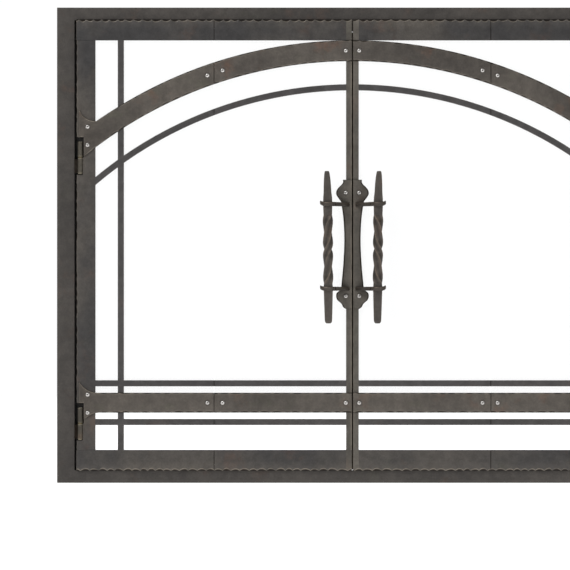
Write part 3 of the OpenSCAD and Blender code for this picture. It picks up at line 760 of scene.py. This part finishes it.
def make_straps(name, side):
    """Hammered straps over the stiles: the lower strap and the wide arch, in two lengths each."""
    flare = STILE[1] + 4
    outer_ends, inner_ends = ("free", "seam"), ("seam", "free")

    def strap(row, stations, low, high, ends, *burrs):
        leaf = row.split("_")[0]
        rings = ribbon(stations, STRAP_FRONT, STRAP_BACK, low, high, ends=ends)
        piece = row.replace("_", "_forged_", 1)
        shells = [sooted(rings), *burrs]
        build(f"{name}_{piece}", shells, side, f"{name}_{leaf}_leaf", [f"{name}_{row}"], "strap_bronze")

    low = hammered(name + "ls_low", 420, (1.5, 2.8), 0.75, flare)
    high = hammered(name + "ls_high", 420, (0.8, 1.9), 0.9, flare)
    notch_z = SPLITS[0] + NOTCH_ABOVE_SPLIT
    burrs = (
        burr(NOTCH_X, STRAP_MID_Z - STRAP_W / 2 - TIP_DROP + 0.4, notch_z),
        burr(LOWER_STRAP[0] + 0.1, notch_z, LOWER_STRAP[5] - 0.6, 0.8),
    )
    strap("outer_lower_strap", lower_strap_stations(), low, high, outer_ends, *burrs)
    x0, x1 = INNER_STRAP[0] - SEAM_CLOSE, INNER_STRAP[1]
    half = STRAP_W / 2
    low = hammered(name + "ls2_low", 420, (1.5, 2.8), 0.75)
    high = hammered(name + "ls2_high", 420, (0.8, 1.9), 0.9)
    straight = [(x, STRAP_MID_Z - half, STRAP_MID_Z + half) for x in spans(x0, x1, 1.1)]
    strap("inner_lower_strap", straight, low, high, inner_ends)

    low = hammered(name + "as_low", 420, (0.9, 2.2), 0.75, flare - 10)
    high = hammered(name + "as_high", 420, (0.9, 2.0), 0.9, flare + 8)
    notch_z = SPLITS[1] + NOTCH_ABOVE_SPLIT
    burrs = (
        burr(NOTCH_X, on_arch(ARCH_R0, NOTCH_X) + 1.0, notch_z),
        burr(ARCH_STRAP[0] + 0.1, notch_z, notch_z + ARCH_TIP_H - 1.5, 0.8),
    )
    strap("outer_arch_strap", arch_strap_stations(), low, high, outer_ends, *burrs)
    low = hammered(name + "as2_low", 420, (0.9, 2.2), 0.75)
    high = hammered(name + "as2_high", 420, (0.9, 2.0), 0.9)
    band = [(x, on_arch(ARCH_R0, x), on_arch(ARCH_R1, x)) for x in spans(x0, x1, 1.1)]
    strap("inner_arch_strap", band, low, high, inner_ends)


# ---- screws ----

FOLD_X = (OUTER_RAIL[1] + INNER_RAIL[0]) / 2
ARCH_MID_R = (ARCH_R0 + ARCH_R1) / 2
END_SCREW_X = STILE[1] - 12.6
FOLD_SCREWS_X = (FOLD_X - 11, FOLD_X + 14)
MEETING_SCREW_X = MEETING_X - 10
HANDLE_Z = (ARMS[4] + ARMS[5]) / 2
PLATE_SCREWS_Z = (HANDLE_Z - 81.5, HANDLE_Z + 89)


def outer_screws():
    low_notch, high_notch = (split + NOTCH_ABOVE_SPLIT for split in SPLITS)
    return [
        (END_SCREW_X, low_notch + 14),
        (END_SCREW_X, low_notch - 16),
        (FOLD_SCREWS_X[0], STRAP_MID_Z),
        (END_SCREW_X, high_notch + 17),
        (END_SCREW_X, high_notch - 13),
        (FOLD_SCREWS_X[0], on_arch(ARCH_MID_R, FOLD_SCREWS_X[0])),
    ]


def inner_screws():
    return [
        (FOLD_SCREWS_X[1], STRAP_MID_Z),
        (MEETING_SCREW_X, STRAP_MID_Z),
        (FOLD_SCREWS_X[1], on_arch(ARCH_MID_R, FOLD_SCREWS_X[1])),
        (MEETING_SCREW_X, on_arch(ARCH_MID_R, MEETING_SCREW_X)),
        (MEETING_SCREW_X, PLATE_SCREWS_Z[0]),
        (MEETING_SCREW_X, PLATE_SCREWS_Z[1]),
    ]


def lathe(mesh, profile, place, segments, axis="z", turn=0.0):
    """Turns (radius, height, wear, shade) points about an axis through a place; a radius of 0 closes an end.

    Returns the faces between each pair of neighbouring profile points.
    """
    wear = mesh.verts.layers.float["wear"]
    grime = mesh.verts.layers.float["grime"]

    def vertex(radius, height, angle, w, g):
        a, b = radius * math.cos(angle), radius * math.sin(angle)
        offset = (a, b, height) if axis == "z" else (a, -height, b)
        made = mesh.verts.new([(p + o) * MM for p, o in zip(place, offset)])
        made[wear] = w
        made[grime] = g
        return made

    rows = []
    for radius, height, w, g in profile:
        count = 1 if radius == 0 else segments
        rows.append([vertex(radius, height, turn + 2 * math.pi * i / segments, w, g) for i in range(count)])
    bands = []
    for a, b in zip(rows, rows[1:]):
        faces = []
        for i in range(segments):
            j = (i + 1) % segments
            corners = [a[i % len(a)], a[j % len(a)], b[j % len(b)], b[i % len(b)]]
            faces.append(mesh.faces.new(list(dict.fromkeys(corners))))
        bands.append(faces)
    return bands


def make_screws(name, side, leaf, places):
    """Button heads with a dark seat ring painted round each as its shadow, a domed top and a round socket
    painted dark as shade.
    """
    mesh = new_mesh()
    source = rng(name + leaf + "screws")
    for x, z in places:
        turn = source.uniform(0, math.pi / 3)
        profile = [(0, -6.0, 0, 0), (2.0, -6.0, 0, 0), (2.0, -0.2, 0, 0)]
        profile += [(SEAT_SHADOW_R, -0.2, 0, 0), (SEAT_SHADOW_R, 0.18, 0, 0)]
        profile += [(HEAD_R + 0.1, 0.22, 0, 0), (HEAD_R, 0.5, 0, 0)]
        rim = math.sqrt(DOME_R * DOME_R - SOCKET_R * SOCKET_R * 1.7) - DOME_R + HEAD_H
        for i in range(1, 7):
            radius = HEAD_R + (SOCKET_R * 1.3 - HEAD_R) * i / 6
            height = math.sqrt(DOME_R * DOME_R - radius * radius) - DOME_R + HEAD_H
            profile.append((radius, min(rim, max(0.55 + 0.12 * i, height)), 0, 0))
        bands = lathe(mesh, profile, (x, STRAP_FRONT, z), 24, "y")
        # The shank and seat ring take the dark material: painted shadow round the head
        for band in bands[:5]:
            for face in band:
                face.material_index = 1
        top = profile[-1]
        socket = [
            (top[0], top[1], 0, 0), (SOCKET_R, top[1] - 0.12, 0, 0),
            (SOCKET_R * 0.97, HEAD_H - SOCKET_DEPTH, 0, 1), (0, HEAD_H - SOCKET_DEPTH - 0.3, 0, 1),
        ]
        inner = lathe(mesh, socket, (x, STRAP_FRONT, z), 24, "y", turn)
        # The socket's walls take the dark material: painted shade in the recess
        for band in inner[1:]:
            for face in band:
                face.material_index = 1
    bmesh.ops.remove_doubles(mesh, verts=mesh.verts, dist=0.00001)
    nodes = [f"{name}_{leaf}_screws"]
    piece = finish_piece(
        f"{name}_{leaf}_button_screws", mesh, side, f"{name}_{leaf}_leaf", nodes, "bright_steel", 40,
    )
    piece.data.materials.append(SCREW_PAINTED_SHADE)


# ---- hinges ----


def knuckle_profile(z0, z1, dome_low, dome_high):
    """A turned knuckle: rounded ends or chamfers, and a fine groove near each end; the grooves and the flat
    ends get painted shade.
    """
    r = BARREL_R
    low = [(0, z0, 0, 0), (r * 0.55, z0 + 0.15, 0.5, 0), (r * 0.85, z0 + 0.7, 0.8, 0), (r, z0 + 1.8, 0.4, 0)]
    if not dome_low:
        low = [(0, z0, 0, 0.3), (r - 0.5, z0, 0.4, 0.2), (r, z0 + 0.5, 1.0, 0)]
    high = [(r, z1 - 1.8, 0.4, 0), (r * 0.85, z1 - 0.7, 0.8, 0), (r * 0.55, z1 - 0.15, 0.5, 0), (0, z1, 0, 0)]
    if not dome_high:
        high = [(r, z1 - 0.5, 1.0, 0), (r - 0.5, z1, 0.4, 0.2), (0, z1, 0, 0.3)]
    body = [
        (r, z0 + 3.0, 0.1, 0), (r - 0.22, z0 + 3.35, 0, 1.0), (r, z0 + 3.7, 0.25, 0), (r, z0 + 4.6, 0, 0),
        (r, z1 - 4.6, 0, 0), (r, z1 - 3.7, 0.25, 0), (r - 0.22, z1 - 3.35, 0, 1.0), (r, z1 - 3.0, 0.1, 0),
    ]
    return low + body + high


def make_hinges(name, side):
    """Barrel hinges: the door's knuckles with their webs; the frame's knuckles and their tabs to the jamb are
    made in make_frame_knuckles.
    """
    mesh = new_mesh()
    for split in SPLITS:
        lathe(mesh, knuckle_profile(split + 1.3, split + KNUCKLE_LEN, False, True), (HINGE_X, HINGE_Y, 0), 32)
        web = plain(split + 1.6, split + KNUCKLE_LEN - 0.5, HINGE_X + 0.5, NOTCH_X + 0.05)
        # The web is recessed and painted dark for the shade beside the door knuckle
        loft_faces(mesh, grimy(ribbon(web, PLATE_FRONT + 2.4, PLATE_BACK - 0.2, upright=True), 1.0))
    piece, leaf = name + "_turned_door_knuckles", name + "_outer_leaf"
    finish_piece(piece, mesh, side, leaf, [name + "_door_knuckles"], "hinge_bronze")


def make_frame_knuckles():
    mesh = new_mesh()
    for _, side in SIDES:
        half = new_mesh()
        for split in SPLITS:
            lathe(half, knuckle_profile(split - KNUCKLE_LEN, split, True, False), (HINGE_X, HINGE_Y, 0), 32)
            tab = plain(split - KNUCKLE_LEN + 2, split - 2, JAMB[1], HINGE_X - 1)
            # The tab is painted dark for the shade in the jamb gap
            loft_faces(half, grimy(ribbon(tab, HINGE_Y + 5.5, JAMB[2] + FACE_T - 1, upright=True), 1.0))
        if side < 0:
            bmesh.ops.scale(half, vec=(-1, 1, 1), verts=half.verts)
        data = bpy.data.meshes.new("half")
        half.to_mesh(data)
        half.free()
        mesh.from_mesh(data)
        bpy.data.meshes.remove(data)
    finish_piece("turned_frame_knuckles", mesh, 1, "frame", ["frame_knuckles"], "hinge_bronze")


# ---- handles ----


def smooth_curve(points, u):
    """A smooth curve through (u, value) points in order of u."""
    if u <= points[0][0]:
        return points[0][1]
    for i in range(len(points) - 1):
        (u0, a), (u1, b) = points[i], points[i + 1]
        if u <= u1:
            t = (u - u0) / (u1 - u0)
            before = points[max(0, i - 1)]
            after = points[min(len(points) - 1, i + 2)]
            m0 = (b - before[1]) / max(1e-6, u1 - before[0]) * (u1 - u0)
            m1 = (after[1] - a) / max(1e-6, after[0] - u0) * (u1 - u0)
            t2, t3 = t * t, t * t * t
            return a * (2 * t3 - 3 * t2 + 1) + m0 * (t3 - 2 * t2 + t) + b * (3 * t2 - 2 * t3) + m1 * (t3 - t2)
    return points[-1][1]


# Half backplate: (height above a screw, width from the meeting edge); the waist goes by the lower screw
LOWER_LOBE = (
    (-21.5, 10.0), (-20.0, 12.5), (-17.5, 15.0), (-14, 16.3), (-11.5, 18.6), (-6.5, 24.2), (0, 26.0),
    (5.2, 24.8), (9.2, 20.0), (12.5, 18.0),
)
WAIST = ((22, 16.9), (50, 14.3), (82, 12.6), (103, 12.6), (127, 13.9), (147, 16.4))
UPPER_LOBE = (
    (-20, 17.4), (-15.5, 17.6), (-9.0, 22.0), (-4.0, 25.2), (0, 26.0), (4.5, 24.8), (9.0, 21.6),
    (14.0, 16.4), (17.5, 14.6), (21.5, 14.6),
)


def make_backplate(name, side):
    """Half backplate: lobes round the screws and a hollow waist, with a deep filed bevel darkened by painted
    shade, and a meeting edge with a painted highlight on the left leaf.
    """
    low_z, high_z = PLATE_SCREWS_Z
    points = [(low_z + h, w) for h, w in LOWER_LOBE]
    points += [(low_z + h, w) for h, w in WAIST]
    points += [(high_z + h, w) for h, w in UPPER_LOBE]
    heights = spans(points[0][0], points[-1][0], 0.9)
    stations = [(z, MEETING_X - smooth_curve(points, z), MEETING_X) for z in heights]
    # The filed bevel is painted dark for the shade along the plate's border
    filed = Rim(bevel=1.7, grime=0.9)
    # The left leaf's edge is painted brighter as a highlight
    inner_edge = Rim(bevel=0.6, wear=1.0 if side > 0 else 0.4)
    plate = ribbon(stations, STRAP_FRONT, STRAP_BACK, filed, inner_edge, upright=True, ends=("seam", "seam"))
    piece, leaf = name + "_forged_backplate", name + "_inner_leaf"
    build(piece, [plate], side, leaf, [name + "_backplate"], "plate_bronze", 50)


def section(width, depth, corner, angle, centre, z, wear, grime):
    """A bar's rounded rectangular section, turned by an angle about its middle, with painted shade on its
    flats.
    """
    ring = []
    for sx, sy in ((1, 1), (-1, 1), (-1, -1), (1, -1)):
        a = math.atan2(sy, sx)
        hub = (sx * (width / 2 - corner), sy * (depth / 2 - corner))
        for k, bright in ((-45, 0.25), (-15, 1.0), (15, 1.0), (45, 0.25)):
            turn = a + math.radians(k)
            x, y = hub[0] + corner * math.cos(turn), hub[1] + corner * math.sin(turn)
            ring.append((x, y, wear * bright, 0.0))
        flat = (0.0, sy * depth / 2) if sx * sy > 0 else (sx * width / 2, 0.0)
        ring.append((*flat, 0.0, grime))
    cos, sin = math.cos(angle), math.sin(angle)
    return [(centre[0] + x * cos - y * sin, centre[1] + x * sin + y * cos, z, w, g) for x, y, w, g in ring]


TWIST_SIDE = 12.4
ARM_T = 5.5
ARM_Z = (ARMS[4] + ARM_T / 2, ARMS[5] - ARM_T / 2)
TWIST = (ARM_Z[0] + 9, ARM_Z[1] - 18)
BAR_Y = (BAR[2] + BAR[3]) / 2
BAR_X = (BAR[0] + BAR[1]) / 2


def make_handle_bar(name, side):
    """A forged square bar: drawn-out flat ends and one full twist between the arms."""
    low, high = BAR[4], BAR[5]
    source = rng(name + "bar")
    ease = 12.0
    widths = (
        (low, 6.0), (low + 1.2, 9.4), (low + 3.2, 11.4), (low + 6.5, 12.2), (ARM_Z[0] - 8, 14.6),
        (ARM_Z[0], 15.0), (TWIST[0] - 1, 14.2), (TWIST[0] + ease, TWIST_SIDE), (TWIST[1] - ease, TWIST_SIDE),
        (TWIST[1] + 1, 14.0), (ARM_Z[1], 15.0), (ARM_Z[1] + 10, 14.5), (high - 36, 13.0), (high - 17, 11.2),
        (high - 5, 8.9), (high - 1.2, 7.3), (high, 5.8),
    )
    depths = (
        (low, 4.0), (low + 1.2, 7.0), (low + 3.2, 8.6), (low + 6.5, 9.2), (ARM_Z[0], 10.0),
        (TWIST[0] - 1, 10.4),
        (TWIST[0] + ease, TWIST_SIDE), (TWIST[1] - ease, TWIST_SIDE), (TWIST[1] + 1, 10.4), (ARM_Z[1], 10.0),
        (high - 3, 7.0), (high - 0.8, 6.2), (high, 4.4),
    )
    rings = []
    for z in spans(low, high, 1.0, (low + 1.2, low + 3.2, high - 0.8)):
        t = min(1.0, max(0.0, (z - TWIST[0]) / (TWIST[1] - TWIST[0])))
        eased = t + 0.035 * math.sin(4 * math.pi * t) * source.uniform(0.9, 1.1)
        angle = 2 * math.pi * (eased if 0 < t < 1 else t)
        width = smooth_curve(widths, z)
        depth = smooth_curve(depths, z)
        shift = 0.0065 * (HANDLE_Z - z) - 1.0 * max(0.0, (z - ARM_Z[1]) / (high - ARM_Z[1])) ** 1.5
        corner = 1.0 + 0.5 * max(0.0, min(1.0, (ARM_Z[0] - z) / 20, 1.0))
        corner = min(corner, width / 3, depth / 3)
        twisted = 0 < t < 1
        centre = (BAR_X + shift, BAR_Y)
        rings.append(section(width, depth, corner, angle, centre, z, 1.0 if twisted else 0.3, 0.4 * twisted))
    piece, leaf = name + "_forged_handle_bar", name + "_inner_leaf"
    build(piece, [rings], side, leaf, [name + "_handle_bar"], "handle_bronze", 60)


def arm_outline():
    """Plan outline of an arm, from a spread foot over a curved neck to an eye, and the eye's middle."""
    foot = Vector((MEETING_X - 10.5, STRAP_FRONT + 0.5))
    knee = Vector((MEETING_X - 12.5, STRAP_FRONT - 25))
    eye = Vector((BAR_X, BAR_Y))
    eye_r = 11.8
    left, right = [], []
    count = 26
    for i in range(count + 1):
        t = i / count
        place = foot * (1 - t) ** 2 + knee * 2 * t * (1 - t) + eye * t * t
        slope = (knee - foot) * 2 * (1 - t) + (eye - knee) * 2 * t
        across = Vector((-slope.y, slope.x)).normalized()
        half = 4.4 + 2.4 * max(0.0, 1 - t / 0.22) ** 2 + 2.0 * max(0.0, (t - 0.55) / 0.45) ** 2
        if (place - eye).length < eye_r * 0.9:
            break
        left.append(place + across * half)
        right.append(place - across * half)
    start = math.atan2(left[-1].y - eye.y, left[-1].x - eye.x)
    end = math.atan2(right[-1].y - eye.y, right[-1].x - eye.x)
    while end < start:
        end += 2 * math.pi
    if end - start < math.pi:
        start, end = end, start + 2 * math.pi
    arc = [start + (end - start) * i / 30 for i in range(1, 30)]
    ring = []
    for a in arc:
        stretch = 1.12 if math.cos(a) < 0 else 1.0
        ring.append(eye + Vector((math.cos(a) * stretch, math.sin(a))) * eye_r)
    return left + ring + right[::-1], eye


# An arm's cross-section: (inset, share of its half thickness, wear and highlight) from its underside to its
# top; the top bevel's extra brightness is a painted highlight
ARM_LAYERS = (
    (0.9, -1.0, 0.0), (0.25, -0.72, 0.1), (0.0, -0.3, 0.05),
    (0.0, 0.3, 0.1), (0.25, 0.72, 0.5), (0.9, 1.0, 0.1),
)


def make_handle_arms(name, side):
    """Two arms, each a flat forged bar with an eye whose outer tip turns up a little."""
    outline, eye = arm_outline()
    mesh = new_mesh()
    count = len(outline)
    for z in ARM_Z:
        rings = []
        for inset, level, wear in ARM_LAYERS:
            ring = []
            for i, point in enumerate(outline):
                before, after = outline[i - 1], outline[(i + 1) % count]
                along = (after - before).normalized()
                inward = Vector((-along.y, along.x))
                if (point + inward * 0.5 - eye).length > (point - inward * 0.5 - eye).length:
                    inward = -inward
                near_eye = max(0.0, 1 - (point - eye).length / 24)
                half = 3.0 + 0.7 * near_eye
                turn_up = 1.6 * max(0.0, (BAR_X - 6 - point.x) / 6) ** 2
                place = point + inward * inset
                # The underside gets more painted shade than the top
                ring.append((place.x, place.y, z + half * level + turn_up, wear, 0.35 if level < 0 else 0.1))
            rings.append(ring)
        loft_faces(mesh, rings)
    piece, leaf = name + "_forged_handle_arms", name + "_inner_leaf"
    finish_piece(piece, mesh, side, leaf, [name + "_handle_arms"], "handle_bronze", 50)


# ---- nodes that keep their CAD shape ----


def keep(node, finish, bevel_mm=0.0):
    """A CAD node with its own shape, a finer material and, on plates, lightly broken edges."""
    piece = frame["nodes"][node]
    piece.data.materials.clear()
    piece.data.materials.append(FINISH[finish])
    if bevel_mm:
        bevel = piece.modifiers.new("broken_edges", "BEVEL")
        bevel.width = bevel_mm * MM
        bevel.segments = 2
        bevel.limit_method = "ANGLE"
        bevel.angle_limit = math.radians(50)


def keep_plain_nodes():
    # The baffles behind the jamb gaps are near black so the gaps read as shade
    keep("jamb_baffles", "black_steel", 0.4)
    keep("magnet_catches", "black_steel", 0.8)
    keep("hinge_pins", "brass")
    for name, _ in SIDES:
        keep(name + "_fold_pins", "bright_steel")
        for leaf in ("outer", "inner"):
            keep(f"{name}_{leaf}_glass", "clear_glass")
            keep(f"{name}_{leaf}_glass_clips", "zinc_steel", 0.25)
            keep(f"{name}_{leaf}_fold_hinges", "hinge_bronze", 0.3)


# ---- studio ----

AMBIENT = 0.27
# The view's middle is left of the screen's middle line and below its mid-height
VIEW_X = -111.5
VIEW_Z = 327.6
VIEW_W = 941.6


def area_light(name, place, target, size, power):
    data = bpy.data.lights.new(name, "AREA")
    data.shape = "RECTANGLE"
    data.size, data.size_y = size
    data.energy = power
    lamp = bpy.data.objects.new(name, data)
    lamp.location = place
    lamp.rotation_euler = (Vector(target) - Vector(place)).to_track_quat("-Z", "Y").to_euler()
    bpy.context.scene.collection.objects.link(lamp)


def studio():
    """White surroundings, a pale floor, soft lamps, and a long lens straight in front of the screen."""
    scene = bpy.context.scene
    scene.view_settings.view_transform = "Standard"
    world = bpy.data.worlds.new("studio")
    scene.world = world
    world.use_nodes = True
    nodes, links = world.node_tree.nodes, world.node_tree.links
    background = nodes["Background"]
    background.inputs["Color"].default_value = (1, 1, 1, 1)
    path = nodes.new("ShaderNodeLightPath")
    strength = nodes.new("ShaderNodeMapRange")
    strength.inputs["To Min"].default_value = AMBIENT
    strength.inputs["To Max"].default_value = 1.02
    links.new(path.outputs["Is Camera Ray"], strength.inputs["Value"])
    links.new(strength.outputs["Result"], background.inputs["Strength"])

    floor_mesh = bmesh.new()
    bmesh.ops.create_grid(floor_mesh, x_segments=2, y_segments=2, size=4.0)
    data = bpy.data.meshes.new("floor")
    floor_mesh.to_mesh(data)
    floor_mesh.free()
    floor = bpy.data.objects.new("floor", data)
    floor.location = (0, 0, -0.0005)
    scene.collection.objects.link(floor)
    n = Nodes("pale_floor")
    n.shader.inputs["Base Color"].default_value = (0.80, 0.80, 0.80, 1)
    n.shader.inputs["Roughness"].default_value = 0.9
    n.shader.inputs["Specular IOR Level"].default_value = 0.0
    n.shader.inputs["Emission Color"].default_value = (1, 1, 1, 1)
    n.shader.inputs["Emission Strength"].default_value = 0.85
    data.materials.append(n.material)

    area_light("key", (-1.7, -2.8, 2.8), (0, 0, 0.4), (1.4, 1.4), 70)
    area_light("fill", (2.2, -2.8, 1.2), (0, 0, 0.4), (1.4, 1.8), 22)
    area_light("back", (0.6, 2.6, 1.8), (0, 0, 0.4), (1.6, 1.2), 18)

    lens, sensor = 200.0, 36.0
    distance = VIEW_W * lens / sensor
    data = bpy.data.cameras.new("camera")
    data.lens = lens
    data.sensor_width = sensor
    data.clip_end = 60
    camera = bpy.data.objects.new("camera", data)
    camera.location = (VIEW_X * MM, (STRAP_FRONT - distance) * MM, VIEW_Z * MM)
    camera.rotation_euler = (math.pi / 2, 0, 0)
    scene.collection.objects.link(camera)
    scene.camera = camera


make_frame()
make_frame_knuckles()
for side_name, mirror in SIDES:
    make_stiles_and_rails(side_name, mirror)
    make_slim_bars(side_name, mirror)
    make_straps(side_name, mirror)
    make_screws(side_name, mirror, "outer", outer_screws())
    make_screws(side_name, mirror, "inner", inner_screws())
    make_hinges(side_name, mirror)
    make_backplate(side_name, mirror)
    make_handle_bar(side_name, mirror)
    make_handle_arms(side_name, mirror)
keep_plain_nodes()
studio()
